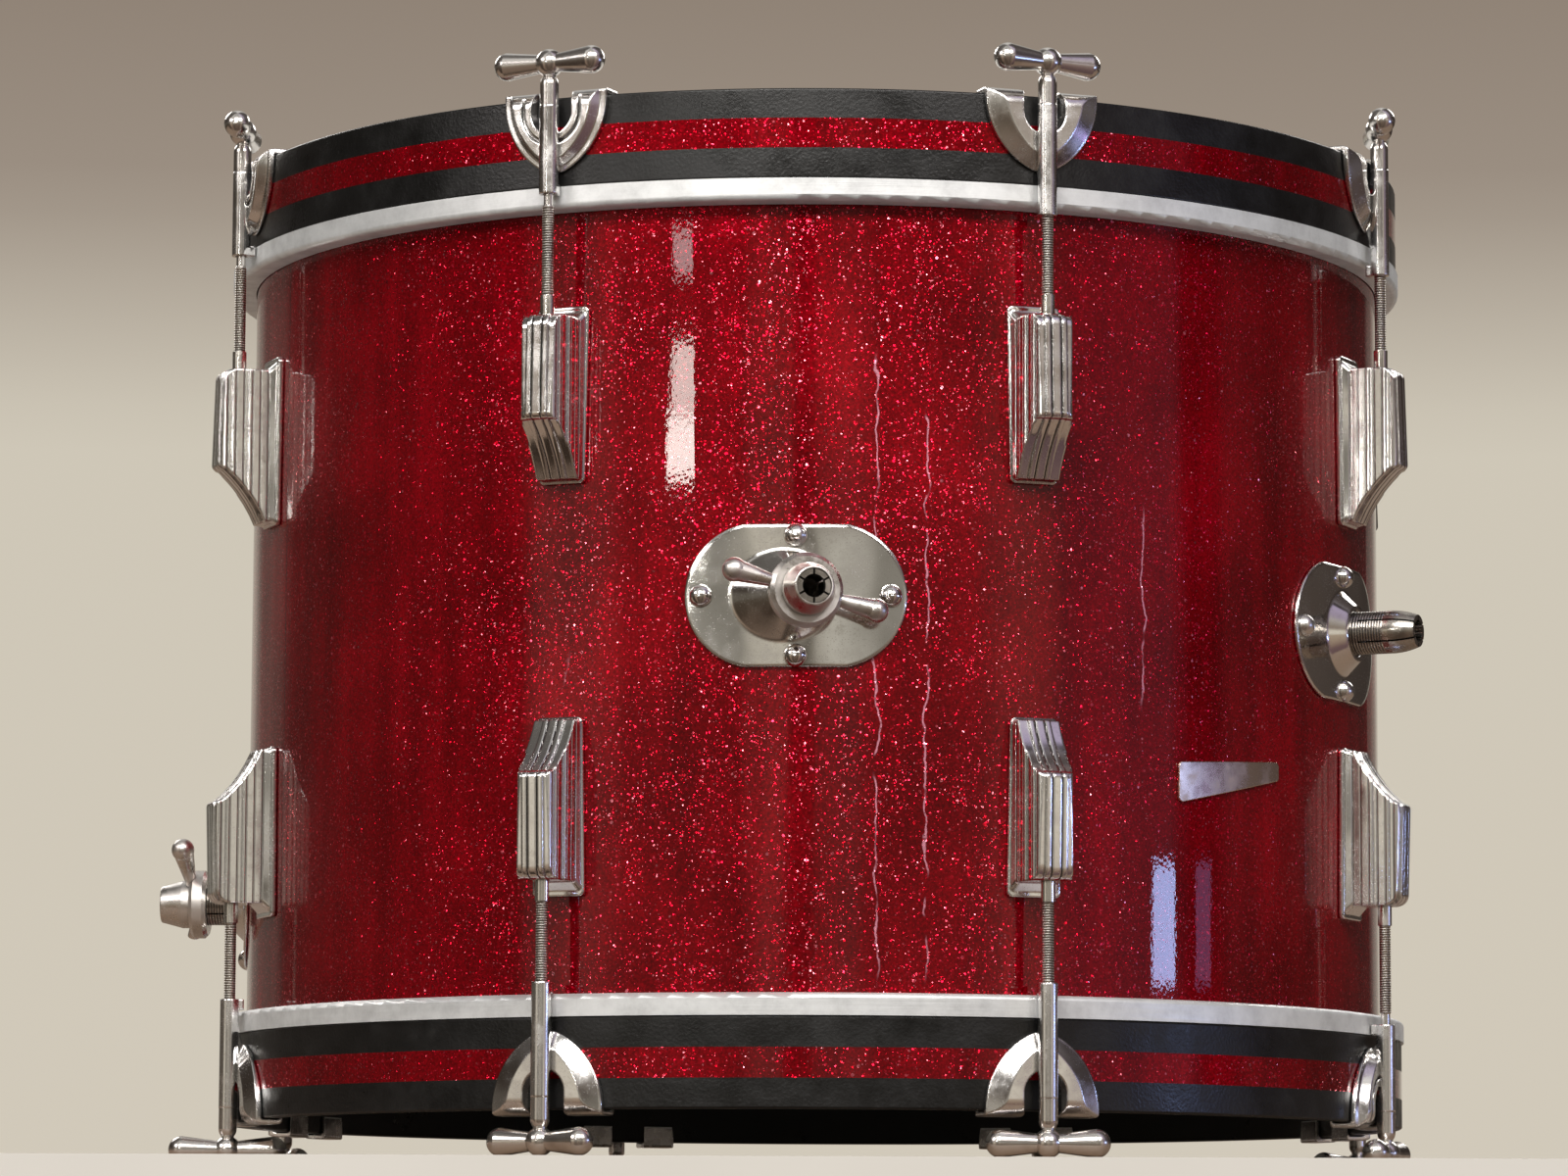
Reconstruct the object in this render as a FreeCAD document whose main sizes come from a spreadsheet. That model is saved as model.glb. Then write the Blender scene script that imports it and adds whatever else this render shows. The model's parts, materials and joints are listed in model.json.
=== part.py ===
"""A 20 x 14 inch wood-hooped drum that stands on its lower T-handles.

Frame: the drum's axis is Z and the T-handles stand on Z = 0. Most pieces are drawn once, for the upper
half, in a frame with its origin at the middle of the shell; their copies are turned and lifted to their
places. Azimuth 0 is the front, towards -Y, and grows towards +X. All lengths are in millimetres.
"""
import FreeCAD
import Part
import Sketcher
import math
import os

V = FreeCAD.Vector
X_AXIS = V(1, 0, 0)
Y_AXIS = V(0, 1, 0)
Z_AXIS = V(0, 0, 1)

doc = FreeCAD.newDocument("Drum")


# --------------------------------------------------------------------------------------------------- sizes

SIZES = [
    # shell
    ("shell_depth", 355.6, "bearing edge to bearing edge, 14 inch"),
    ("wood_radius", 253.6, "outside of the bare wood"),
    ("wood_wall", 6.6, "plies"),
    ("edge_setback", 3.0, "bearing edge in from the outside, cut at 45 degrees"),
    ("edge_land", 0.8, "width of the bearing edge's flat"),
    ("edge_inner_cut", 2.8, "45 degree cut inside the bearing edge"),
    ("wrap_thickness", 0.4, "plastic sheet on the shell"),
    ("wrap_margin", 5.5, "bare wood between wrap and bearing edge"),
    ("ring_height", 25.0, "reinforcement ring"),
    ("ring_wall", 5.0, "reinforcement ring"),
    ("ring_margin", 4.6, "bearing edge to reinforcement ring"),
    # head and its hoop
    ("film_thickness", 0.4, "drumhead film"),
    ("film_gap", 1.1, "wrap to film, on the collar"),
    ("film_grip", 6.0, "film held in the flesh hoop"),
    ("collar_drop", 5.1, "bearing edge down to the flesh hoop's top"),
    ("flesh_clearance", 0.4, "wrap to flesh hoop"),
    ("flesh_wall", 10.2, "flesh hoop, inside to outside"),
    ("flesh_height", 9.3, ""),
    ("flesh_round", 2.4, "rolled outer corner of the flesh hoop"),
    ("film_slot_gap", 0.05, "film to the walls of its groove"),
    # wooden hoop
    ("hoop_setout", 2.1, "wrap to the inside of the hoop"),
    ("hoop_wall", 7.5, ""),
    ("hoop_height", 38.0, ""),
    ("hoop_round", 1.0, "eased corners"),
    ("inlay_start", 12.9, "hoop's shell side to the inlay"),
    ("inlay_width", 12.5, ""),
    ("inlay_depth", 0.6, ""),
    # tension rods
    ("lug_count", 8, "lugs round each head"),
    ("rod_setout", 7.4, "hoop to the rods' axes"),
    ("hub_rise", 18.0, "rod's shoulder to the T-handle's centre"),
    ("shoulder_drop", 4.7, "hoop's rim down to the rod's shoulder on the claw's sleeve"),
    ("hub_radius", 6.0, "ball in the middle of the T-handle"),
    ("handle_reach", 25.5, "half of the T-handle's length"),
    ("handle_end_radius", 5.9, ""),
    ("handle_neck_radius", 3.4, "arm beside the hub"),
    ("barrel_radius", 3.95, ""),
    ("barrel_length", 9.0, "straight part"),
    ("waist_radius", 2.8, ""),
    ("waist_taper", 3.0, ""),
    ("shank_radius", 2.0, "plain shank"),
    ("thread_radius", 2.45, "outside of the thread"),
    ("thread_start", 42.0, "shoulder to the thread's upper end"),
    ("rod_entry", 25.2, "thread's length inside the lug's casing"),
    ("rod_tip_chamfer", 0.8, ""),
    # claws
    ("running_gap", 0.05, "between turning faces"),
    ("thread_clearance", 0.07, "thread to the bore round it"),
    ("claw_gap", 0.3, "claw to hoop"),
    ("claw_long_half", 24.8, "long pattern, half width at the rim"),
    ("claw_short_half", 23.2, "short pattern"),
    ("claw_side_curve", 34.0, "radius of the curved sides"),
    ("claw_length", 32.3, "hoop's rim down to its tip"),
    ("claw_tip_half", 5.5, "half width where sides and tip meet"),
    ("claw_tip_rise", 1.3, ""),
    ("claw_slot_half", 8.2, "half width of the slot"),
    ("claw_slot_drop", 7.1, "rim down to the centre of the slot's round end"),
    ("claw_skirt", 1.4, "straight foot of the casting before its sides slope"),
    ("claw_long_thickness", 5.0, "long pattern, hoop to front"),
    ("claw_short_thickness", 5.8, "short pattern"),
    ("claw_long_flange", 0.4, "flat border round the raised arms"),
    ("claw_short_flange", 2.4, ""),
    ("claw_long_slope", 7.0, "width of the slope from the border to the front"),
    ("claw_short_slope", 2.6, ""),
    ("claw_flare", 1.3, "slot wider at the front, on each side"),
    ("claw_hook_round", 7.0, "outer corner over the rim"),
    ("claw_cap", 2.2, "thickness of the hook over the rim"),
    ("claw_lip_drop", 8.0, "hook's lip down the inside of the hoop"),
    ("claw_lip", 2.2, "thickness of the lip"),
    ("claw_lip_round", 1.0, ""),
    ("claw_groove_outer", 13.8, "groove of the short pattern, half width"),
    ("claw_groove_inner", 12.3, ""),
    ("claw_groove_depth", 1.5, ""),
    ("claw_web_half", 2.6, "half thickness of the web behind the sleeve"),
    ("claw_foot", 4.6, "height of the sleeve's foot"),
    ("claw_foot_waist", 3.0, "recess between foot and web"),
    ("sleeve_radius", 4.05, ""),
    ("short_sleeve", 37.5, "length below the rod's shoulder"),
    ("long_sleeve", 47.2, ""),
    # lugs
    ("lug_gap", 0.3, "casing to wrap"),
    ("lug_setback", 60.6, "bearing edge to the casing's end where the rod enters"),
    ("lug_front_out", 9.4, "casing's front beyond the rod's axis, at the rod's end"),
    ("lug_front_lean", 1.1, "how much further out it is at the other end"),
    ("lug_body_half", 7.9, "half width of its front"),
    ("lug_rib_half", 1.9, "half width of the middle rib down the front"),
    ("lug_rib_gap", 0.6, "groove between ribs"),
    ("lug_rib_width", 2.3, "rib on each side of it"),
    ("lug_rib_depth", 1.1, "ribs in front of the shoulders beside them"),
    ("lug_edge_round", 2.4, "shoulders' round long edges"),
    ("lug_side_step", 0.7, "each side step"),
    ("lug_side_start", 5.5, "front to the first side step"),
    ("lug_side_run", 7.2, "first side step to the second"),
    ("lug_corner", 4.8, "round corner at the rod's end"),
    ("lug_face_length", 41.8, "front face, along the rod"),
    ("lug_nose", 2.6, "round corner there"),
    ("lug_length", 67.0, "casing with its tail"),
    ("lug_tail_out", 8.0, "tail's end from the shell"),
    ("lug_tail_curve", 60.0, "radius of the tail's hollow"),
    ("plate_beyond", 5.7, "base plate beyond the casing, at the rod's end"),
    ("plate_below", 1.4, "base plate beyond the tail"),
    ("plate_half_top", 11.6, ""),
    ("plate_half_bottom", 10.2, ""),
    ("plate_edge", 2.4, "plate's thickness at its edge"),
    ("plate_flare", 6.0, "shell to where the plate has sloped in to the casing"),
    ("plate_round", 2.0, ""),
    ("lug_end_wall", 3.0, "casing's end to the nut's chamber"),
    ("cavity_length", 27.2, "nut's chamber"),
    ("cavity_half", 4.9, ""),
    ("nut_collar_radius", 3.05, ""),
    ("nut_collar_out", 8.5, "collar standing out of the casing"),
    ("nut_flange_radius", 4.6, ""),
    ("nut_flange_length", 11.0, ""),
    ("nut_fit", 0.15, "collar in the casing's hole"),
    ("lug_screw_near", 36.2, "screw from the casing's end"),
    ("lug_screw_far", 57.2, ""),
    ("lug_screw_radius", 2.05, ""),
    ("lug_screw_bite", 5.4, "screw's length in the casing"),
    ("lug_screw_head", 4.2, ""),
    ("lug_screw_head_height", 2.8, ""),
    ("screw_clearance", 0.1, "screw to the hole round it"),
    # mounts
    ("mount_length", 91.6, "plate, round the shell"),
    ("mount_height", 59.0, "plate, along the shell"),
    ("mount_flat", 43.0, "straight part of its long edges"),
    ("mount_end_radius", 30.1, "its round ends"),
    ("mount_sheet", 1.5, "sheet metal"),
    ("mount_gap", 0.2, "plate to wrap"),
    ("mount_screw_across", 39.4, "screw from the middle, round the shell"),
    ("mount_screw_up", 24.9, "screw from the middle, along the shell"),
    ("mount_screw_radius", 2.2, ""),
    ("mount_dome_radius", 4.8, ""),
    ("mount_dome_height", 4.4, ""),
    ("mount_dome_rim", 0.6, "straight edge under the dome"),
    ("mount_nut_half", 4.0, "half across the flats"),
    ("mount_nut_height", 3.2, ""),
    ("boss_base_radius", 20.0, "cone pressed out of the plate, at the plate"),
    ("boss_mouth_radius", 12.2, ""),
    ("boss_height", 8.0, ""),
    ("boss_root", 7.0, "cone's length below the shell's surface before it is trimmed"),
    ("front_tilt", 14.0, "front collet turned towards +X, degrees"),
    ("right_height", 1.0, "right mount from the middle of the shell"),
    ("left_setback", 67.1, "left mount from the lower bearing edge"),
    ("right_azimuth", 66.0, "degrees"),
    ("left_azimuth", -90.0, "degrees"),
    ("collet_bore", 4.8, "takes a 3/8 inch arm"),
    ("collet_radius", 9.3, "its thread"),
    ("collet_thread_end", 25.0, "from the shell's surface"),
    ("collet_nose_radius", 7.0, ""),
    ("collet_nose", 36.0, "from the shell's surface"),
    ("collet_curve", 35.0, "radius of its rounding towards the nose"),
    ("collet_flange_radius", 11.0, ""),
    ("collet_flange_length", 3.0, ""),
    ("collet_fit", 0.2, "collet in the boss's mouth"),
    ("slit_count", 6, ""),
    ("slit_width", 0.8, ""),
    ("slit_start", 11.0, ""),
    ("arm_way", 9.0, "radius of the shell's hole behind a collet"),
    # wing nuts
    ("wing_start", 15.5, "wing nut's inner face, from the shell's surface"),
    ("wing_backoff", 4.2, "the left wing nut stands further out"),
    ("wing_ring_radius", 15.3, ""),
    ("wing_ring_length", 7.6, ""),
    ("wing_ring_edge", 1.6, "bevel on the ring's corners"),
    ("wing_hub_radius", 10.7, ""),
    ("wing_hub_length", 4.0, ""),
    ("wing_mouth_radius", 8.3, "outside, at the mouth"),
    ("wing_mouth_round", 0.7, ""),
    ("wing_nose", 36.8, "from the shell's surface"),
    ("wing_nose_gap", 0.25, "round the collet's slope and nose"),
    ("wing_arm_reach", 30.6, "ball's centre from the axis"),
    ("wing_ball_radius", 5.1, ""),
    ("wing_arm_swell", 4.8, "arm's radius where it meets the ball"),
    ("wing_arm_root", 2.2, "arm's radius at the hub"),
    ("wing_left_step", 1.8, "the left nut's arm, out from the ring's middle"),
    ("wing_left_sweep", 7.4, "the left nut's arm leans away from the shell, degrees"),
    ("wing_stub_reach", 17.5, "the left nut's broken arm, end from the axis"),
    # small parts
    ("vent_radius", 6.0, ""),
    ("vent_bore", 4.6, ""),
    ("vent_flange", 9.5, ""),
    ("vent_flange_height", 1.4, ""),
    ("vent_height", 20.0, "from the middle of the shell"),
    ("badge_azimuth", 45.5, "degrees"),
    ("badge_setback", 107.8, "from the lower bearing edge"),
    ("badge_half_length", 31.0, ""),
    ("badge_left_low", -10.0, "left end, below the middle"),
    ("badge_left_high", 6.8, "left end, above the middle"),
    ("badge_right_low", 2.0, "right end"),
    ("badge_right_high", 10.2, "right end"),
    ("badge_corner", 2.0, "corner round"),
    ("badge_thickness", 1.2, ""),
]

FRONT_AZIMUTH = 0.0
HALF_STEP = 0.5

# each T-handle's direction in degrees, from +X, for the lugs 1 to 8
TOP_HANDLES = [33.0, 90.0, 40.0, -15.0, 62.0, 5.0, 90.0, -24.0]
BOTTOM_HANDLES = [0.0, 73.0, 35.0, -20.0, 50.0, -65.0, 5.0, -31.0]
# which claws have the short sleeve; the others have the long one
TOP_SHORT = [False, False, True, False, True, False, True, True]
BOTTOM_SHORT = [False, True, False, False, True, False, False, False]


class Size:
    """A number together with the sheet formula that it comes from, so that one sum gives both."""

    def __init__(self, value, formula):
        self.value = float(value)
        self.formula = formula

    def __add__(self, other):
        other = as_size(other)
        return Size(self.value + other.value, "(%s + %s)" % (self.formula, other.formula))

    def __sub__(self, other):
        other = as_size(other)
        return Size(self.value - other.value, "(%s - %s)" % (self.formula, other.formula))

    def __mul__(self, other):
        other = as_size(other)
        return Size(self.value * other.value, "(%s * %s)" % (self.formula, other.formula))

    def __truediv__(self, other):
        other = as_size(other)
        return Size(self.value / other.value, "(%s / %s)" % (self.formula, other.formula))

    def __neg__(self):
        return self * -1


def as_size(thing):
    return thing if isinstance(thing, Size) else Size(thing, repr(float(thing)))


ZERO = as_size(0)

sheet = doc.addObject("Spreadsheet::Sheet", "Sizes")
for row, (alias, number, note) in enumerate(SIZES, start=1):
    sheet.set("A%d" % row, alias)
    sheet.set("B%d" % row, str(number))
    sheet.setAlias("B%d" % row, alias)
    sheet.set("C%d" % row, note)
doc.recompute()


def size(alias):
    return Size(sheet.get(alias), "Sizes." + alias)


# levels and radii that several pieces share, from the middle of the shell
half_depth = size("shell_depth") * 0.5
wood_inner = size("wood_radius") - size("wood_wall")
wrap_outer = size("wood_radius") + size("wrap_thickness")
flesh_top = half_depth - size("collar_drop")
flesh_bottom = flesh_top - size("flesh_height")
hoop_top = flesh_top + size("hoop_height")
hoop_inner = wrap_outer + size("hoop_setout")
hoop_outer = hoop_inner + size("hoop_wall")
rod_circle = hoop_outer + size("rod_setout")
shoulder_level = hoop_top - size("shoulder_drop")
hub_level = shoulder_level + size("hub_rise")
claw_tip = hoop_top - size("claw_length")
slot_centre = hoop_top - size("claw_slot_drop")
lug_top = half_depth - size("lug_setback")
lug_tail_end = lug_top - size("lug_length")
cavity_top = lug_top - size("lug_end_wall")
lug_seat = wrap_outer + size("lug_gap")
lug_front = rod_circle + size("lug_front_out")
mount_seat = wrap_outer + size("mount_gap")
mount_face = mount_seat + size("mount_sheet")
stand_height = hub_level + size("hub_radius")


# ------------------------------------------------------------------------------------------------- helpers

def bind(item, **sizes):
    """Ties properties of a document object to formulas of the sheet."""
    for prop, length in sizes.items():
        item.setExpression(prop, as_size(length).formula)
    return item


def turned(azimuth, base=V(0, 0, 0)):
    """A placement turned about the drum's axis; base is already in its final place."""
    return FreeCAD.Placement(base, FreeCAD.Rotation(Z_AXIS, azimuth))


def outward(azimuth, height, radius, heading=None):
    """Local Z points out of the shell and local Y up; heading turns it away from the radius."""
    angle = math.radians(azimuth)
    base = V(radius * math.sin(angle), -radius * math.cos(angle), height)
    turn = FreeCAD.Rotation(Z_AXIS, azimuth if heading is None else heading)
    return FreeCAD.Placement(base, turn.multiply(FreeCAD.Rotation(X_AXIS, 90)))


def add_outline(sketch, corners):
    """Closes a run of corners into a sketch whose every corner follows the sheet.

    A corner is (x, y), or (x, y, radius) where the run to the next corner is an arc; the arc bulges to the
    right of the walk, and to the left where the radius is negative.
    """
    count = len(corners)
    pieces = []
    for i, corner in enumerate(corners):
        start = V(as_size(corner[0]).value, as_size(corner[1]).value, 0)
        following = corners[(i + 1) % count]
        end = V(as_size(following[0]).value, as_size(following[1]).value, 0)
        if len(corner) == 2:
            pieces.append((sketch.addGeometry(Part.LineSegment(start, end), False), 1, 2))
            continue
        radius = as_size(corner[2]).value
        chord = end - start
        sagitta_arm = math.sqrt(max(radius * radius - chord.Length * chord.Length / 4, 0))
        left = V(-chord.y, chord.x, 0) * (1 / chord.Length)
        bulge_right = radius > 0
        centre = (start + end) * 0.5 + left * (sagitta_arm if bulge_right else -sagitta_arm)
        first, last = (start, end) if bulge_right else (end, start)
        angles = [math.atan2(p.y - centre.y, p.x - centre.x) for p in (first, last)]
        circle = Part.Circle(centre, Z_AXIS, abs(radius))
        arc = sketch.addGeometry(Part.ArcOfCircle(circle, angles[0], angles[1]), False)
        pieces.append((arc, 1, 2) if bulge_right else (arc, 2, 1))
        rule = sketch.addConstraint(Sketcher.Constraint("Radius", arc, abs(radius)))
        length = as_size(corner[2])
        sketch.setExpression("Constraints[%d]" % rule, length.formula if bulge_right else (-length).formula)
    for i, (piece, start_end, last_end) in enumerate(pieces):
        after, after_start, _ = pieces[(i + 1) % count]
        sketch.addConstraint(Sketcher.Constraint("Coincident", piece, last_end, after, after_start))
        for kind, length in (("DistanceX", corners[i][0]), ("DistanceY", corners[i][1])):
            length = as_size(length)
            rule = sketch.addConstraint(Sketcher.Constraint(kind, -1, 1, piece, start_end, length.value))
            sketch.setExpression("Constraints[%d]" % rule, length.formula)


def dome_curve(half_width, rise):
    """Radius of a dome over a round base."""
    return (half_width * half_width + rise * rise) / (rise * 2)


def origin_feature(body, role):
    return [item for item in body.Origin.OriginFeatures if item.Role == role][0]


def body_sketch(body, name, plane, corners):
    sketch = body.newObject("Sketcher::SketchObject", name)
    sketch.AttachmentSupport = [(origin_feature(body, plane), "")]
    sketch.MapMode = "FlatFace"
    add_outline(sketch, corners)
    return sketch


def turned_body(name, corners):
    """A body turned about Z from a profile of (radius, height) corners."""
    body = doc.addObject("PartDesign::Body", name)
    sketch = body_sketch(body, name + "_profile", "XZ_Plane", corners)
    turn = body.newObject("PartDesign::Revolution", name + "_turn")
    turn.Profile = sketch
    turn.ReferenceAxis = (sketch, ["V_Axis"])
    turn.Angle = 360
    body.Tip = turn
    return body


def flat_outline(name, plane_turn, corners, start):
    """A closed outline in XY, turned by plane_turn and set off along its normal."""
    sketch = doc.addObject("Sketcher::SketchObject", name)
    sketch.Placement = FreeCAD.Placement(plane_turn.multVec(V(0, 0, as_size(start).value)), plane_turn)
    add_outline(sketch, corners)
    return sketch


def slab(name, plane_turn, corners, depth, centred=False, start=ZERO):
    """A flat outline pushed through space."""
    push = doc.addObject("Part::Extrusion", name)
    push.Base = flat_outline(name + "_outline", plane_turn, corners, start)
    push.DirMode = "Normal"
    push.Solid = True
    push.Symmetric = centred
    return bind(push, LengthFwd=depth)


def sloped(name, plane_turn, near, start, far, end):
    """A solid with straight sides between two like outlines."""
    loft = doc.addObject("Part::Loft", name)
    loft.Sections = [flat_outline(name + "_near", plane_turn, near, start),
                     flat_outline(name + "_far", plane_turn, far, end)]
    loft.Solid = True
    loft.Ruled = True
    return loft


FRONT_VIEW = FreeCAD.Rotation(X_AXIS, 90)
SIDE_VIEW = FreeCAD.Rotation(Z_AXIS, -90).multiply(FreeCAD.Rotation(X_AXIS, 90))
PLAN_VIEW = FreeCAD.Rotation(Z_AXIS, -90)


def rod_shape(name, radius, length, placement=FreeCAD.Placement()):
    item = bind(doc.addObject("Part::Cylinder", name), Radius=radius, Height=length)
    item.Placement = placement
    return item


def cone(name, root, tip, length, placement):
    item = bind(doc.addObject("Part::Cone", name), Radius1=root, Radius2=tip, Height=length)
    item.Placement = placement
    return item


def union(name, pieces):
    item = doc.addObject("Part::MultiFuse", name)
    item.Shapes = pieces
    return item


def cut(name, base, tool):
    item = doc.addObject("Part::Cut", name)
    item.Base = base
    item.Tool = tool
    return item


def common(name, base, tool):
    item = doc.addObject("Part::Common", name)
    item.Base = base
    item.Tool = tool
    return item


def tube(name, outer, inner, bottom, top):
    """A ring about the drum's axis between two heights from the middle of the shell."""
    place = FreeCAD.Placement(V(0, 0, bottom.value), FreeCAD.Rotation())
    length = top - bottom
    wall = rod_shape(name + "_out", outer, length, place)
    return cut(name, wall, rod_shape(name + "_in", inner, length, place))


def copy_of(master, name, placement):
    item = doc.addObject("Part::Compound", name)
    item.Links = [master]
    item.Placement = placement
    return item


nodes = []


def node(name, *pieces):
    """A named sub-part: one piece or a group of the same piece, lifted to its height above the stand."""
    item = doc.addObject("Part::Compound", name)
    item.Label = name
    item.Links = list(pieces)
    item.setExpression("Placement.Base.z", stand_height.formula)
    nodes.append(item)
    return item


UP = FreeCAD.Placement()
DOWN = FreeCAD.Placement(V(0, 0, 0), FreeCAD.Rotation(Y_AXIS, 180))


def lug_azimuth(index):
    """Azimuth of lug 0, 1, 2...; the front falls half way between two lugs."""
    return (index + HALF_STEP) * 360.0 / sheet.get("lug_count")


def at_lug(index, flip):
    """Turns a piece that was drawn at the front to its lug; flip is UP or DOWN."""
    return turned(lug_azimuth(index)).multiply(flip)


LUGS = range(int(sheet.get("lug_count")))
SCREW_LEVELS = {"near": lug_top - size("lug_screw_near"), "far": lug_top - size("lug_screw_far")}

MOUNTS = {
    "front": (FRONT_AZIMUTH, 0.0, sheet.get("front_tilt")),
    "right": (sheet.get("right_azimuth"), sheet.get("right_height"), 0.0),
    "left": (sheet.get("left_azimuth"), (size("left_setback") - half_depth).value, 0.0),
}


# --------------------------------------------------------------------------------------- holes in the wall

def mount_screw_places(azimuth, height):
    """(azimuth, height) of a mount's four screws."""
    across = math.degrees(size("mount_screw_across").value / mount_face.value)
    up = size("mount_screw_up").value
    return [(azimuth - across, height), (azimuth + across, height),
            (azimuth, height - up), (azimuth, height + up)]


def radial_drill(name, radius, azimuth, height):
    """A cylinder from inside the wall out past every plate."""
    start = wood_inner - size("wood_wall")
    length = lug_front - start
    return rod_shape(name, radius, length, outward(azimuth, height, start.value))


def collet_place(which):
    """Local Z runs out along the collet, from the shell's surface."""
    azimuth, height, tilt = MOUNTS[which]
    return outward(azimuth, height, wrap_outer.value, azimuth + tilt)


def wall_drills():
    """Every hole through the wood and the wrap."""
    drills = []
    screw_hole = size("lug_screw_radius") + size("screw_clearance")
    for index in LUGS:
        for row, level in SCREW_LEVELS.items():
            for side in (1, -1):
                name = "drill_lug_%d_%s_%s" % (index + 1, row, "up" if side > 0 else "down")
                drills.append(radial_drill(name, screw_hole, lug_azimuth(index), side * level.value))
    inward = FreeCAD.Placement(V(0, 0, -size("wood_wall").value * 3), FreeCAD.Rotation())
    for which in MOUNTS:
        way = rod_shape("arm_way_" + which, size("arm_way"), size("boss_height") + size("wood_wall") * 3)
        way.Placement = collet_place(which).multiply(inward)
        drills.append(way)
    drills.append(radial_drill("drill_vent", size("vent_radius"), 180, sheet.get("vent_height")))
    return drills


def mount_drills():
    """The mounts' screw holes, through plate, wrap and wood."""
    hole = size("mount_screw_radius") + size("screw_clearance")
    drills = []
    for which, (azimuth, height, _) in MOUNTS.items():
        for k, (screw_azimuth, screw_height) in enumerate(mount_screw_places(azimuth, height)):
            drills.append(radial_drill("drill_%s_%d" % (which, k + 1), hole, screw_azimuth, screw_height))
    return drills


# ----------------------------------------------------------------------------------------- shell and heads

def make_shell():
    setback, land, inner_cut = size("edge_setback"), size("edge_land"), size("edge_inner_cut")
    outer = size("wood_radius")
    edge_out = outer - setback
    edge_in = edge_out - land
    inner_foot = wood_inner
    wood = turned_body("wood_tube", [
        (inner_foot, -half_depth + inner_cut), (edge_in, -half_depth), (edge_out, -half_depth),
        (outer, -half_depth + setback), (outer, half_depth - setback), (edge_out, half_depth),
        (edge_in, half_depth), (inner_foot, half_depth - inner_cut)])
    wrap_end = half_depth - size("wrap_margin")
    sheet_tube = turned_body("wrap_tube", [
        (outer, -wrap_end), (wrap_outer, -wrap_end), (wrap_outer, wrap_end), (outer, wrap_end)])
    drills = doc.addObject("Part::Compound", "all_wall_drills")
    drills.Links = wall_drills() + shared_mount_drills
    node("shell", cut("drilled_wood", wood, drills))
    node("shell_wrap", cut("drilled_wrap", sheet_tube, drills))

    ring_top = half_depth - size("ring_margin")
    ring_bottom = ring_top - size("ring_height")
    ring_inner = wood_inner - size("ring_wall")
    ring = turned_body("ring", [
        (ring_inner, ring_bottom), (wood_inner, ring_bottom), (wood_inner, ring_top),
        (ring_inner, ring_top - size("ring_wall"))])
    node("reinforcement_rings", copy_of(ring, "ring_up", UP), copy_of(ring, "ring_down", DOWN))


def make_heads():
    film = size("film_thickness")
    edge_out = size("wood_radius") - size("edge_setback")
    film_in = wrap_outer + size("film_gap")
    film_out = film_in + film
    knee = half_depth - size("edge_setback")
    film_end = flesh_top - size("film_grip")
    head = turned_body("film", [
        (0, half_depth), (edge_out + film, half_depth), (film_in - film, knee), (film_in, flesh_top),
        (film_in, film_end), (film_out, film_end), (film_out, flesh_top), (film_out - film, knee + film),
        (edge_out + film, half_depth + film), (0, half_depth + film)])
    node("head_top", copy_of(head, "film_up", UP))
    node("head_bottom", copy_of(head, "film_down", DOWN))

    inner = wrap_outer + size("flesh_clearance")
    outer, corner, gap = inner + size("flesh_wall"), size("flesh_round"), size("film_slot_gap")
    flesh = turned_body("flesh", [
        (inner, flesh_bottom), (outer - corner, flesh_bottom, corner), (outer, flesh_bottom + corner),
        (outer, flesh_top), (film_out + gap, flesh_top), (film_out + gap, film_end - gap),
        (film_in - gap, film_end - gap), (film_in - gap, flesh_top), (inner, flesh_top)])
    node("flesh_hoop_top", copy_of(flesh, "flesh_up", UP))
    node("flesh_hoop_bottom", copy_of(flesh, "flesh_down", DOWN))


def make_wood_hoops():
    inner, ease = hoop_inner, size("hoop_round")
    inlay_low = flesh_top + size("inlay_start")
    inlay_high = inlay_low + size("inlay_width")
    groove = hoop_outer - size("inlay_depth")
    hoop = turned_body("hoop", [
        (inner, flesh_top), (hoop_outer - ease, flesh_top, ease), (hoop_outer, flesh_top + ease),
        (hoop_outer, inlay_low), (groove, inlay_low), (groove, inlay_high), (hoop_outer, inlay_high),
        (hoop_outer, hoop_top - ease, ease), (hoop_outer - ease, hoop_top),
        (inner + ease, hoop_top, ease), (inner, hoop_top - ease)])
    inlay = turned_body("inlay", [
        (groove, inlay_low), (hoop_outer, inlay_low), (hoop_outer, inlay_high), (groove, inlay_high)])
    for half, flip in (("top", UP), ("bottom", DOWN)):
        node("wood_hoop_" + half, copy_of(hoop, "hoop_" + half, flip))
        node("hoop_inlay_" + half, copy_of(inlay, "inlay_" + half, flip))


# -------------------------------------------------------------------------------------------- tension rods

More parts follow.
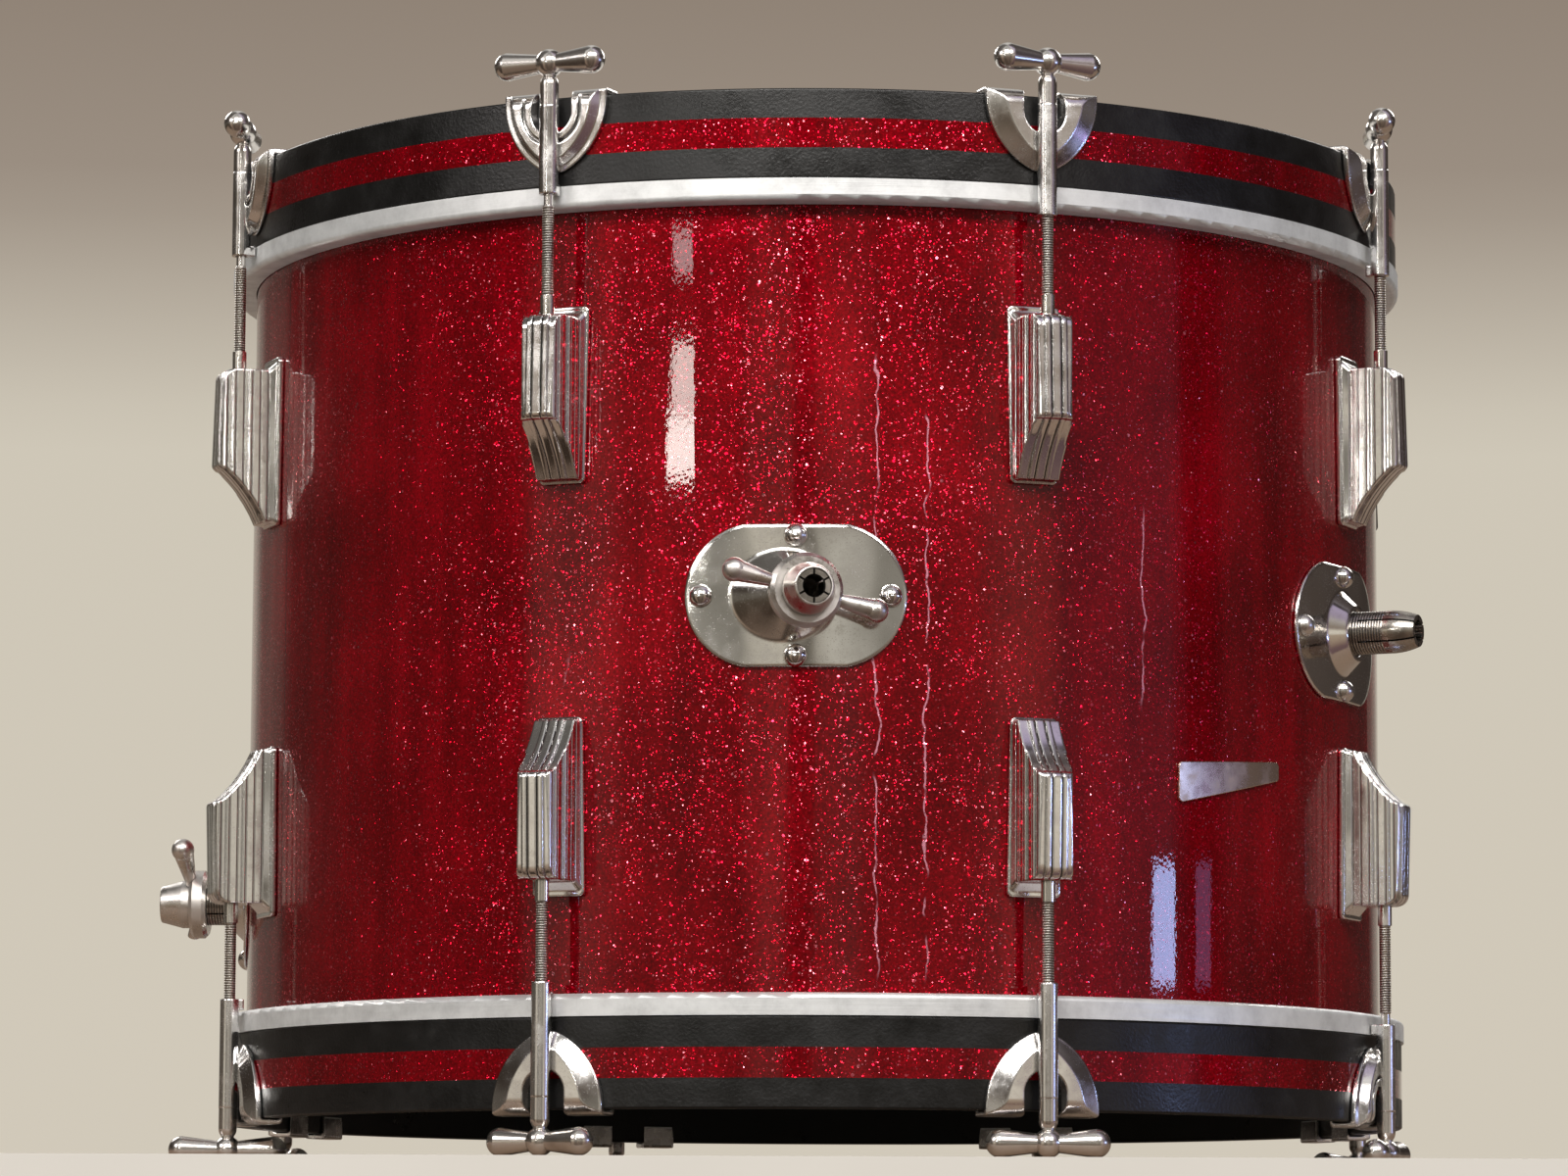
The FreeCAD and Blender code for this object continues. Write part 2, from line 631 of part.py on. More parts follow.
def make_rod_master():
    """Drawn from the T-handle's centre, with the shank along +Z and the handle along X."""
    shoulder = size("hub_rise") - size("running_gap")
    barrel_start = shoulder - size("barrel_length")
    thread_start = size("hub_rise") + size("thread_start")
    tip = hub_level - lug_top + size("rod_entry")
    waist, barrel = size("waist_radius"), size("barrel_radius")
    shank, thread, chamfer = size("shank_radius"), size("thread_radius"), size("rod_tip_chamfer")
    swell = barrel_start - size("waist_taper")
    body = turned_body("rod_master", [
        (0, 0), (waist, 0), (waist, swell, dome_curve(size("waist_taper"), barrel - waist)),
        (barrel, barrel_start), (barrel, shoulder), (shank, shoulder), (shank, thread_start),
        (thread, thread_start + chamfer), (thread, tip - chamfer), (thread - chamfer, tip), (0, tip)])
    ball, end, reach = size("hub_radius"), size("handle_end_radius"), size("handle_reach")
    end_centre = reach - end
    handle = turned_body("handle", [
        (0, -reach, end), (end, -end_centre), (size("handle_neck_radius"), 0), (end, end_centre, end),
        (0, reach)])
    hub_ball = turned_body("handle_hub", [(0, -ball, ball), (ball, 0, ball), (0, ball)])
    across = FreeCAD.Placement(V(0, 0, 0), FreeCAD.Rotation(Y_AXIS, 90))
    handle.Placement = across
    hub_ball.Placement = across
    return union("rod_with_handle", [body, handle, hub_ball])


def make_rods():
    master = make_rod_master()
    circle, hub = rod_circle.value, hub_level.value
    for half, side, handles in (("top", 1, TOP_HANDLES), ("bottom", -1, BOTTOM_HANDLES)):
        for index in LUGS:
            angle = math.radians(lug_azimuth(index))
            base = V(circle * math.sin(angle), -circle * math.cos(angle), side * hub)
            flip = FreeCAD.Rotation(X_AXIS, 180 if side > 0 else 0)
            turn = FreeCAD.Rotation(Z_AXIS, handles[index % len(handles)]).multiply(flip)
            name = "%s_%d" % (half, index + 1)
            node("tension_rod_" + name, copy_of(master, "rod_" + name, FreeCAD.Placement(base, turn)))


# --------------------------------------------------------------------------------------------------- claws

def claw_outline(half_width, top, inset=ZERO):
    """The casting's front view, its slot left out."""
    half, tip_half = half_width - inset, size("claw_tip_half")
    tip = claw_tip + size("claw_tip_rise") + inset
    side = size("claw_side_curve")
    return [(-half, top, side), (-tip_half, tip, dome_curve(tip_half, size("claw_tip_rise"))),
            (tip_half, tip, side), (half, top)]


def claw_slot(half, top):
    """A slot with a round lower end, open at the top."""
    return [(-half, slot_centre, half), (0, slot_centre - half, half), (half, slot_centre), (half, top),
            (-half, top)]


def make_claw_master(pattern, grooved):
    """Drawn at the front, upper half."""
    name = "claw_" + pattern
    sleeve_end, flange = shoulder_level - size(pattern + "_sleeve"), size(name + "_flange")
    half, thickness = size(name + "_half"), size(name + "_thickness")
    gap = size("claw_gap")
    back = hoop_outer + gap
    skirt_end = back + size("claw_skirt")
    front = hoop_outer + thickness
    past_front = front + gap
    beyond = (past_front - skirt_end) / (front - skirt_end)
    cap_bottom = hoop_top + gap
    cap_top = cap_bottom + size("claw_cap")
    lip_out = hoop_inner - gap
    lip_in = lip_out - size("claw_lip")
    low, above = claw_tip, cap_top + gap

    middle = hoop_inner + size("hoop_wall") * 0.5
    lip_end = cap_bottom - size("claw_lip_drop")
    hook, lip_round = size("claw_hook_round"), size("claw_lip_round")
    side_view = slab(name + "_side", SIDE_VIEW, [
        (lip_in, lip_end), (middle, lip_end), (middle, low - gap), (front, low - gap),
        (front, cap_top - hook, hook), (front - hook, cap_top), (lip_in + lip_round, cap_top, lip_round),
        (lip_in, cap_top - lip_round)],
        (half + gap) * 2, centred=True)
    skirt = slab(name + "_skirt", FRONT_VIEW, claw_outline(half, above), skirt_end)
    face = sloped(name + "_face", FRONT_VIEW, claw_outline(half, above, flange), skirt_end,
                  claw_outline(half, above, flange + size(name + "_slope") * beyond), past_front)
    casting = common(name + "_casting", side_view, union(name + "_front", [skirt, face]))

    slot_half = size("claw_slot_half")
    slot = slab(name + "_slot", FRONT_VIEW, claw_slot(slot_half, above), past_front)
    flare = sloped(name + "_flare", FRONT_VIEW, claw_slot(slot_half, above), skirt_end,
                   claw_slot(slot_half + size("claw_flare") * beyond, above), past_front)
    hoop_room = tube(name + "_hoop_room", back, lip_out, low - gap * 2, cap_bottom)
    inside = rod_shape(name + "_inside", middle, lip_end - low + gap * 2)
    inside.Placement = FreeCAD.Placement(V(0, 0, (low - gap * 2).value), FreeCAD.Rotation())
    hollows = [slot, flare, hoop_room, inside]
    if grooved:
        deep = front - size("claw_groove_depth")
        outer = slab(name + "_groove_outer", FRONT_VIEW, claw_slot(size("claw_groove_outer"), above),
                     past_front - deep, start=deep)
        inner = slab(name + "_groove_inner", FRONT_VIEW, claw_slot(size("claw_groove_inner"), above),
                     past_front - deep, start=deep)
        hollows.append(cut(name + "_groove", outer, inner))
    horseshoe = cut(name + "_horseshoe", casting, union(name + "_hollows", hollows))

    slot_bottom = slot_centre - size("claw_slot_half")
    circle, foot = rod_circle, sleeve_end + size("claw_foot")
    waist_out = circle - size("thread_radius")
    web = slab(name + "_web", SIDE_VIEW, [
        (skirt_end, low + gap * 4), (waist_out, foot + size("claw_foot_waist")), (waist_out, foot),
        (skirt_end, foot), (skirt_end, sleeve_end), (circle, sleeve_end), (circle, slot_bottom),
        (skirt_end, slot_bottom)],
        size("claw_web_half") * 2, centred=True)
    axis = V(0, -rod_circle.value, sleeve_end.value)
    along = FreeCAD.Placement(axis, FreeCAD.Rotation())
    length = shoulder_level - sleeve_end
    sleeve = rod_shape(name + "_sleeve", size("sleeve_radius"), length, along)
    bore = rod_shape(name + "_bore", size("thread_radius") + size("thread_clearance"), length, along)
    return cut(name, union(name + "_solid", [horseshoe, web, sleeve]), bore)


def make_claws():
    masters = {True: make_claw_master("short", True), False: make_claw_master("long", False)}
    for half, flip, short in (("top", UP, TOP_SHORT), ("bottom", DOWN, BOTTOM_SHORT)):
        for index in LUGS:
            name = "%s_%d" % (half, index + 1)
            master = masters[short[index % len(short)]]
            node("claw_" + name, copy_of(master, "hook_" + name, at_lug(index, flip)))


# ---------------------------------------------------------------------------------------------------- lugs

def lug_profile(name, inset):
    """The casing's side view, cut back along its front by the inset."""
    corner, nose = size("lug_corner") + inset, size("lug_nose")
    tail_out = wrap_outer + size("lug_tail_out") - inset
    face_end = lug_top - size("lug_face_length")
    upper, lower = lug_front - inset, lug_front + size("lug_front_lean") - inset
    return slab(name, SIDE_VIEW, [
        (wood_inner, lug_tail_end), (tail_out, lug_tail_end, -size("lug_tail_curve")),
        (lower - nose, face_end - nose, nose), (lower, face_end), (upper, lug_top - corner, corner),
        (upper - corner, lug_top), (wood_inner, lug_top)], size("plate_half_top") * 2, centred=True)


def plate_outline(wide, narrow, top, bottom):
    """Round-cornered and narrower at its lower end."""
    ease = size("plate_round")
    return [(-wide, top - ease), (-narrow, bottom + ease, ease), (-narrow + ease, bottom),
            (narrow - ease, bottom, ease), (narrow, bottom + ease), (wide, top - ease, ease),
            (wide - ease, top), (-wide + ease, top, ease)]


def make_lug_master():
    """Drawn at the front, upper half: a ribbed casing on a base plate, its tail swept in to the shell."""
    top, bottom = lug_top + size("plate_beyond"), lug_tail_end - size("plate_below")
    edge, side, run = size("lug_edge_round"), size("lug_side_step"), size("lug_side_run")
    half = size("lug_body_half")
    front_half = half - edge
    waist_half = half + side
    root_half = waist_half + side
    leaning = lug_front + size("lug_front_lean")
    face = leaning - size("lug_rib_depth")
    shoulder = face - edge
    second = leaning - size("lug_side_start")
    third = second - run
    inside = wood_inner
    section = slab("lug_section", PLAN_VIEW, [
        (inside, -root_half), (third, -root_half), (third, -waist_half), (second, -waist_half),
        (second, -half), (shoulder, -half, edge), (face, -front_half), (face, front_half, edge),
        (shoulder, half), (second, half), (second, waist_half), (third, waist_half),
        (third, root_half), (inside, root_half)], top - bottom)
    middle, gap, width = size("lug_rib_half"), size("lug_rib_gap"), size("lug_rib_width")
    ribs = []
    for side_name, low, high in (("left", -middle - gap - width, -middle - gap),
                                 ("middle", -middle, middle),
                                 ("right", middle + gap, middle + gap + width)):
        ribs.append(slab("lug_rib_" + side_name, PLAN_VIEW, [
            (inside, low), (leaning, low), (leaning, high), (inside, high)], top - bottom))
    for piece in [section] + ribs:
        piece.Placement = FreeCAD.Placement(V(0, 0, bottom.value), FreeCAD.Rotation())
    block = common("lug_block", section, lug_profile("lug_block_profile", size("lug_rib_depth")))
    rib_block = common("lug_rib_block", union("lug_ribs", ribs), lug_profile("lug_rib_profile", ZERO))
    casing = union("lug_casing", [block, rib_block])

    outer = plate_outline(size("plate_half_top"), size("plate_half_bottom"), top, bottom)
    inner = plate_outline(root_half, root_half, lug_top, lug_tail_end)
    plate_band = tube("lug_plate_band", lug_seat + size("plate_edge"), lug_seat, bottom, top)
    plate = common("lug_plate", slab("lug_plate_outline", FRONT_VIEW, outer, lug_front), plate_band)
    flare = sloped("lug_flare", FRONT_VIEW, outer, lug_seat, inner, lug_seat + size("plate_flare"))
    solid = union("lug_solid", [plate, flare, casing])

    axis = V(0, -rod_circle.value, 0)
    chamber = size("cavity_half")
    cavity_low = cavity_top - size("cavity_length")
    well = rod_shape("lug_well", chamber, size("cavity_length"),
                     FreeCAD.Placement(axis + Z_AXIS * cavity_low.value, FreeCAD.Rotation()))
    window = slab("lug_window", PLAN_VIEW, [
        (inside, -chamber), (rod_circle, -chamber), (rod_circle, chamber), (inside, chamber)],
        size("cavity_length"))
    window.Placement = FreeCAD.Placement(V(0, 0, cavity_low.value), FreeCAD.Rotation())
    mouth = rod_shape("lug_mouth", size("nut_collar_radius") + size("nut_fit"), top - cavity_low,
                      FreeCAD.Placement(axis + Z_AXIS * cavity_low.value, FreeCAD.Rotation()))
    core = rod_shape("lug_core", lug_seat, top - bottom,
                     FreeCAD.Placement(V(0, 0, bottom.value), FreeCAD.Rotation()))
    screw_hole = size("lug_screw_radius") + size("screw_clearance")
    bite = size("lug_gap") + size("lug_screw_bite") + size("screw_clearance")
    holes = [rod_shape("lug_hole_" + row, screw_hole, bite, outward(0, level.value, wrap_outer.value))
             for row, level in SCREW_LEVELS.items()]
    return cut("lug_master", solid, union("lug_hollows", [core, well, window, mouth] + holes))


def make_lugs():
    casing = make_lug_master()
    bore = size("thread_radius") + size("thread_clearance")
    collar, flange = size("nut_collar_radius"), size("nut_flange_radius")
    collar_end = lug_top + size("nut_collar_out")
    seat = cavity_top
    nut = turned_body("swivel_nut", [
        (bore, seat - size("nut_flange_length")), (flange, seat - size("nut_flange_length")),
        (flange, seat), (collar, seat), (collar, collar_end), (bore, collar_end)])
    nut.Placement = FreeCAD.Placement(V(0, -rod_circle.value, 0), FreeCAD.Rotation())

    head, height = size("lug_screw_head"), size("lug_screw_head_height")
    shank = size("lug_screw_radius")
    length = wrap_outer - wood_inner + size("lug_gap") + size("lug_screw_bite")
    screw = turned_body("lug_screw", [
        (0, -height), (head, -height), (head, -size("running_gap")), (shank, -size("running_gap")),
        (shank, length), (0, length)])

    for half, flip in (("top", UP), ("bottom", DOWN)):
        copies = [copy_of(casing, "casing_%s_%d" % (half, i + 1), at_lug(i, flip)) for i in LUGS]
        node("lug_casings_" + half, *copies)
    nuts = [copy_of(nut, "nut_%s_%d" % (half, i + 1), at_lug(i, flip))
            for half, flip in (("top", UP), ("bottom", DOWN)) for i in LUGS]
    node("lug_swivel_nuts", *nuts)
    screws = []
    for i in LUGS:
        for side in (1, -1):
            for level in SCREW_LEVELS.values():
                place = outward(lug_azimuth(i), side * level.value, wood_inner.value)
                screws.append(copy_of(screw, "screw_%d_%d" % (i + 1, len(screws) + 1), place))
    node("lug_screws", *screws)


# -------------------------------------------------------------------------------------------------- mounts

def make_mount_plate(which, drills):
    """An oval sheet that follows the shell, with a cone pressed out of it along the collet's axis."""
    azimuth, height, tilt = MOUNTS[which]
    half_flat, half_high = size("mount_flat") * 0.5, size("mount_height") * 0.5
    half_long, bend = size("mount_length") * 0.5, size("mount_end_radius")
    name = "plate_" + which
    outline = slab(name + "_outline", FRONT_VIEW, [
        (-half_flat, -half_high), (half_flat, -half_high, bend), (half_long, 0, bend),
        (half_flat, half_high), (-half_flat, half_high, bend), (-half_long, 0, bend)], lug_front)
    band = tube(name + "_band", mount_face, mount_seat, -half_high, half_high)
    skin = common(name + "_skin", outline, band)

    wall, root = size("mount_sheet"), size("boss_root")
    base, mouth, rise = size("boss_base_radius"), size("boss_mouth_radius"), size("boss_height")
    axis = outward(0, 0, wrap_outer.value, tilt)
    below = axis.multiply(FreeCAD.Placement(V(0, 0, -root.value), FreeCAD.Rotation()))
    flare = cone(name + "_flare", base + root, mouth, rise + root, below)
    hollow = cone(name + "_hollow", base + root - wall, mouth - wall, rise + root - wall, below)
    hole = rod_shape(name + "_hole", size("collet_radius") + size("collet_fit"), rise * 2, axis)
    core = rod_shape(name + "_core", mount_seat, half_high * 4,
                     FreeCAD.Placement(V(0, 0, -half_high.value * 2), FreeCAD.Rotation()))
    solid = union(name + "_solid", [skin, flare])
    plate = cut(name + "_pressed", solid, union(name + "_hollows", [hollow, hole, core]))
    placed = copy_of(plate, name + "_placed", turned(azimuth, V(0, 0, height)))
    node("mount_plate_" + which, cut(name + "_drilled", placed, drills))


def make_collet_master():
    """Local Z runs out from the shell's surface."""
    bore, thread, nose = size("collet_bore"), size("collet_radius"), size("collet_nose_radius")
    seat = size("boss_height") - size("mount_sheet")
    flange = size("collet_flange_radius")
    inner_end = seat - size("collet_flange_length")
    body = turned_body("collet_master", [
        (bore, inner_end), (flange, inner_end), (flange, seat), (thread, seat),
        (thread, size("collet_thread_end"), size("collet_curve")), (nose, size("collet_nose")),
        (bore, size("collet_nose"))])
    slit = body.newObject("PartDesign::SubtractiveBox", "collet_slit")
    width = size("slit_width")
    bind(slit, Length=width, Width=flange, Height=size("collet_nose"))
    slit.Placement = FreeCAD.Placement(V(-width.value / 2, 0, size("slit_start").value), FreeCAD.Rotation())
    body.Tip = slit
    doc.recompute()
    pattern = body.newObject("PartDesign::PolarPattern", "collet_slits")
    pattern.Originals = [slit]
    pattern.Axis = (origin_feature(body, "Z_Axis"), [""])
    pattern.Angle = 360
    bind(pattern, Occurrences=size("slit_count"))
    body.Tip = pattern
    return body


def make_wing_nut_master(which, step, sweep, broken):
    """Local Z runs out from the shell's surface; the arms lie along X."""
    start, ring, edge = size("wing_start"), size("wing_ring_radius"), size("wing_ring_edge")
    ring_end = start + size("wing_ring_length")
    hub, hub_end = size("wing_hub_radius"), ring_end + size("wing_hub_length")
    mouth, end, ease = size("wing_mouth_radius"), size("wing_nose"), size("wing_mouth_round")
    gap = size("wing_nose_gap")
    bore = size("collet_radius") + size("thread_clearance")
    slope_start = size("collet_thread_end") + gap
    lip = size("collet_nose_radius") + gap
    body = turned_body("wing_master_" + which, [
        (bore, start), (ring - edge, start), (ring, start + edge), (ring, ring_end - edge),
        (ring - edge, ring_end), (hub, ring_end), (hub, hub_end), (mouth, end - ease, ease),
        (mouth - ease, end), (lip, end),
        (lip, size("collet_nose"), -(size("collet_curve") + gap)), (bore, slope_start)])
    level = V(0, 0, (start + size("wing_ring_length") * 0.5 + step).value)
    reach, thin = size("wing_arm_reach"), size("wing_arm_root")
    root = size("collet_radius") + thin
    lengths = {1: reach - root, -1: size("wing_stub_reach") - root if broken else reach - root}
    for side, length in lengths.items():
        place = FreeCAD.Placement(level, FreeCAD.Rotation(Y_AXIS, side * (90 - sweep)))
        side_name = "right" if side > 0 else "left"
        arm = body.newObject("PartDesign::AdditiveCone", "wing_%s_arm_%s" % (which, side_name))
        swell = size("wing_arm_swell") if length is not lengths[-1] or not broken else thin + edge * 0.5
        bind(arm, Radius1=thin, Radius2=swell, Height=length)
        arm.Placement = place.multiply(FreeCAD.Placement(V(0, 0, root.value), FreeCAD.Rotation()))
        body.Tip = arm
        if side > 0 or not broken:
            knob = body.newObject("PartDesign::AdditiveSphere", arm.Name.replace("arm", "ball"))
            bind(knob, Radius=size("wing_ball_radius"))
            knob.Placement = place.multiply(FreeCAD.Placement(V(0, 0, reach.value), FreeCAD.Rotation()))
            body.Tip = knob
    return body


# each wing nut's turn about its collet from level, degrees, and whether its second arm is broken off short
WING_NUTS = {"front": (-14.4, False), "left": (50.0, True)}


def make_mounts():
    drills = doc.addObject("Part::Compound", "all_mount_drills")
    drills.Links = shared_mount_drills
    collet = make_collet_master()
    for which in MOUNTS:
        make_mount_plate(which, drills)
        node("collet_" + which, copy_of(collet, "collet_copy_" + which, collet_place(which)))
    settings = {"front": (ZERO, ZERO, 0),
                "left": (size("wing_backoff"), size("wing_left_step"), sheet.get("wing_left_sweep"))}
    for which, (turn, broken) in WING_NUTS.items():
        backed_off, step, sweep = settings[which]
        wing_nut = make_wing_nut_master(which, step, sweep, broken)
        spin = FreeCAD.Placement(V(0, 0, backed_off.value), FreeCAD.Rotation(Z_AXIS, turn))
        place = collet_place(which).multiply(spin)
        node("wing_nut_" + which, copy_of(wing_nut, "wing_copy_" + which, place))

    dome, height, shank = size("mount_dome_radius"), size("mount_dome_height"), size("mount_screw_radius")
    nut_height, gap = size("mount_nut_height"), size("running_gap")
    nut_start = mount_face - wood_inner + gap
    inner_end = nut_start + nut_height * 1.5
    rim = size("mount_dome_rim")
    screw = turned_body("mount_screw", [
        (0, -inner_end), (shank, -inner_end), (shank, 0), (dome, 0),
        (dome, rim, dome_curve(dome, height - rim)), (0, height)])
    hexagon = doc.addObject("Part::Prism", "mount_nut_hexagon")
    hexagon.Polygon = 6
    corner_out = size("mount_nut_half") * (1 / math.cos(math.radians(30)))
    bind(hexagon, Circumradius=corner_out, Height=nut_height)
    hexagon.Placement = FreeCAD.Placement(V(0, 0, -(nut_start + nut_height).value), FreeCAD.Rotation())
    bore = rod_shape("mount_nut_bore", shank + size("thread_clearance"), nut_height * 3,
                     FreeCAD.Placement(V(0, 0, -(nut_start + nut_height * 2).value), FreeCAD.Rotation()))
    nut = cut("mount_nut", hexagon, bore)
    screws, nuts = [], []
    for which, (azimuth, level, _) in MOUNTS.items():
        for k, (screw_azimuth, screw_height) in enumerate(mount_screw_places(azimuth, level)):
            place = outward(screw_azimuth, screw_height, mount_face.value)
            screws.append(copy_of(screw, "mount_screw_%s_%d" % (which, k + 1), place))
            nuts.append(copy_of(nut, "mount_nut_%s_%d" % (which, k + 1), place))
    node("mount_screws", *screws)
    node("mount_nuts", *nuts)


# --------------------------------------------------------------------------------------------- small parts

def make_vent():
    """A grommet in the rear wall, drawn along Z from the wrap's surface outwards."""
    tube_radius = size("vent_radius") - size("screw_clearance")
    bore, flange, rise = size("vent_bore"), size("vent_flange"), size("vent_flange_height")
    seat = size("mount_gap")
    inner = wrap_outer - wood_inner
    grommet = turned_body("grommet", [
        (bore, -inner), (tube_radius, -inner), (tube_radius, seat), (flange, seat),
        (bore + seat, seat + rise), (bore, seat + rise)])
    place = outward(180, sheet.get("vent_height"), wrap_outer.value)
    node("vent_grommet", copy_of(grommet, "grommet_copy", place))


def make_badge():
    """A plain tapered plate that follows the shell and is left blank."""
    long, corner = size("badge_half_length"), size("badge_corner")
    left_low, left_high = size("badge_left_low"), size("badge_left_high")
    right_low, right_high = size("badge_right_low"), size("badge_right_high")
    outline = slab("badge_outline", FRONT_VIEW, [
        (-long, left_low + corner, corner), (corner - long, left_low), (long - corner, right_low, corner),
        (long, right_low + corner), (long, right_high - corner, corner), (long - corner, right_high),
        (corner - long, left_high, corner), (-long, left_high - corner)], lug_front)
    band = tube("badge_band", mount_seat + size("badge_thickness"), mount_seat, -long, long)
    plate = common("badge_plate", outline, band)
    place = turned(sheet.get("badge_azimuth"), V(0, 0, (size("badge_setback") - half_depth).value))
    node("blank_badge", copy_of(plate, "badge_copy", place))


# --------------------------------------------------------------------------------------------------- build

shared_mount_drills = mount_drills()
make_shell()
make_heads()
make_wood_hoops()
make_rods()
make_claws()
make_lugs()
make_mounts()
make_vent()
make_badge()
doc.recompute()

faults = [item.Name for item in doc.Objects if "Invalid" in item.State or "Error" in item.State]
faults += [item.Label for item in nodes if item.Shape.isNull() or not item.Shape.isValid()]
if faults:
    raise RuntimeError("not built: " + ", ".join(faults))

os.makedirs("parts", exist_ok=True)
for item in nodes:
    item.Shape.exportStep("parts/%s.step" % item.Label)
    box = item.Shape.BoundBox
    print("%-22s solids %2d  volume %10.0f  z %7.1f to %7.1f" % (
        item.Label, len(item.Shape.Solids), item.Shape.Volume, box.ZMin, box.ZMax))
print("nodes", len(nodes))
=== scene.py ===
"""The looks of a wood-hooped drum that stands on its lower T-handles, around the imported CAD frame.

Lengths are metres in the frame's own axes: Z is the drum's axis, -Y the front, Z = 0 the floor. Azimuths are
degrees round the drum's axis from the front, positive towards +X.
"""

import json
import math

import bmesh
import bpy
from mathutils import Matrix, Vector


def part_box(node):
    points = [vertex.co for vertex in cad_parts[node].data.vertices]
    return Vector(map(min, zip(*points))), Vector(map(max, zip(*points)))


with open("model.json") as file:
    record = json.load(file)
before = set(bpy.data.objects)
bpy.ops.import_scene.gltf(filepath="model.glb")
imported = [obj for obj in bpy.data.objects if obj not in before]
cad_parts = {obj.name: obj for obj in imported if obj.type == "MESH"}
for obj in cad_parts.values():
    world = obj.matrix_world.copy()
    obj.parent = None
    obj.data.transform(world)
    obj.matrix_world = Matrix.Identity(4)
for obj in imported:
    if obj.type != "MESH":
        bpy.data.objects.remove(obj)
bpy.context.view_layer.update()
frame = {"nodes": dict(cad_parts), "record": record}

NODES = frame["nodes"]
MOUNTS = {mount["name"]: mount for mount in frame["record"]["mounts"]}
MM = 0.001
WRAP_LOW, WRAP_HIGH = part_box("shell_wrap")
WRAP_RADIUS = WRAP_HIGH.x
MIDDLE = (WRAP_LOW.z + WRAP_HIGH.z) / 2


# ------------------------------------------------------------------------------------ short calls for nodes

class Look:
    """A Principled material with short calls for the nodes that feed it."""

    def __init__(self, name, **sockets):
        self.material = bpy.data.materials.new(name)
        self.material.use_nodes = True
        self.tree = self.material.node_tree
        self.shader = self.tree.nodes["Principled BSDF"]
        self.set(**sockets)

    def feed(self, socket, value):
        """Links a node's output to a socket, or writes a plain value there; a colour needs no alpha."""
        if isinstance(value, bpy.types.NodeSocket):
            self.tree.links.new(value, socket)
        elif socket.type == "RGBA" and len(value) == 3:
            socket.default_value = (*value, 1)
        else:
            socket.default_value = value

    def set(self, **sockets):
        for name, value in sockets.items():
            self.feed(self.shader.inputs[name.replace("_", " ")], value)

    def node(self, kind, inputs=(), **settings):
        item = self.tree.nodes.new("ShaderNode" + kind)
        for name, value in settings.items():
            setattr(item, name, value)
        for name, value in dict(inputs).items():
            self.feed(item.inputs[name], value)
        return item

    def place(self):
        return self.node("TexCoord").outputs["Object"]

    def scaled(self, factors, vector):
        return self.node("Mapping", {"Vector": vector, "Scale": factors}).outputs[0]

    def split(self, vector):
        return self.node("SeparateXYZ", {0: vector}).outputs

    def math(self, operation, a, b=0.0, c=0.0):
        return self.node("Math", {0: a, 1: b, 2: c}, operation=operation).outputs[0]

    def vector(self, operation, *vectors, **inputs):
        item = self.node("VectorMath", {**dict(enumerate(vectors)), **inputs}, operation=operation)
        return item.outputs["Value" if operation == "DOT_PRODUCT" else "Vector"]

    def azimuth(self, x, y):
        """Angle round the drum's axis in radians, 0 at the front."""
        return self.math("ARCTAN2", x, self.math("MULTIPLY", y, -1.0))

    def smooth(self, value, low, high, to_low=0.0, to_high=1.0):
        inputs = {"Value": value, "From Min": low, "From Max": high, "To Min": to_low, "To Max": to_high}
        return self.node("MapRange", inputs, interpolation_type="SMOOTHSTEP").outputs[0]

    def noise(self, scale, vector=None, detail=2.0, rough=0.5, distortion=0.0):
        inputs = {"Vector": vector or self.place(), "Scale": scale, "Detail": detail, "Roughness": rough,
                  "Distortion": distortion}
        return self.node("TexNoise", inputs).outputs["Fac"]

    def cells(self, scale, vector):
        return self.node("TexVoronoi", {"Vector": vector, "Scale": scale}, feature="F1")

    def mix(self, factor, a, b, blend="MIX"):
        return self.node("Mix", {0: factor, 6: a, 7: b}, data_type="RGBA", blend_type=blend).outputs[2]

    def ramp(self, value, *stops):
        item = self.node("ValToRGB", {"Fac": value})
        elements = item.color_ramp.elements
        while len(elements) < len(stops):
            elements.new(1.0)
        for element, (position, colour) in zip(elements, stops):
            element.position = position
            element.color = (*colour, 1)
        return item.outputs[0]

    def bump(self, height, distance, strength=1.0, normal=None):
        inputs = {"Height": height, "Distance": distance, "Strength": strength}
        if normal:
            inputs["Normal"] = normal
        return self.node("Bump", inputs).outputs[0]


class Sky(Look):
    """The world's background, with the same short calls."""

    def __init__(self, name):
        world = bpy.data.worlds.new(name)
        world.use_nodes = True
        self.tree = world.node_tree
        self.shader = self.tree.nodes["Background"]
        bpy.context.scene.world = world


# ------------------------------------------------------------------------------------ red sparkle sheet

# flakes: cells to a metre, how rare a flake is, how far it reaches in its cell
FLAKES = [(450.0, 0.945, 0.32), (740.0, 0.92, 0.39), (1450.0, 0.835, 0.47)]
# cracks in the wrap: azimuth, lowest and highest point
CRACKS = [(7.5, 0.068, 0.335), (12.2, 0.070, 0.315), (34.4, 0.185, 0.275), (-22.1, 0.193, 0.210)]
CRACK_FADE = 0.012
SEAM_AZIMUTH = -63.4


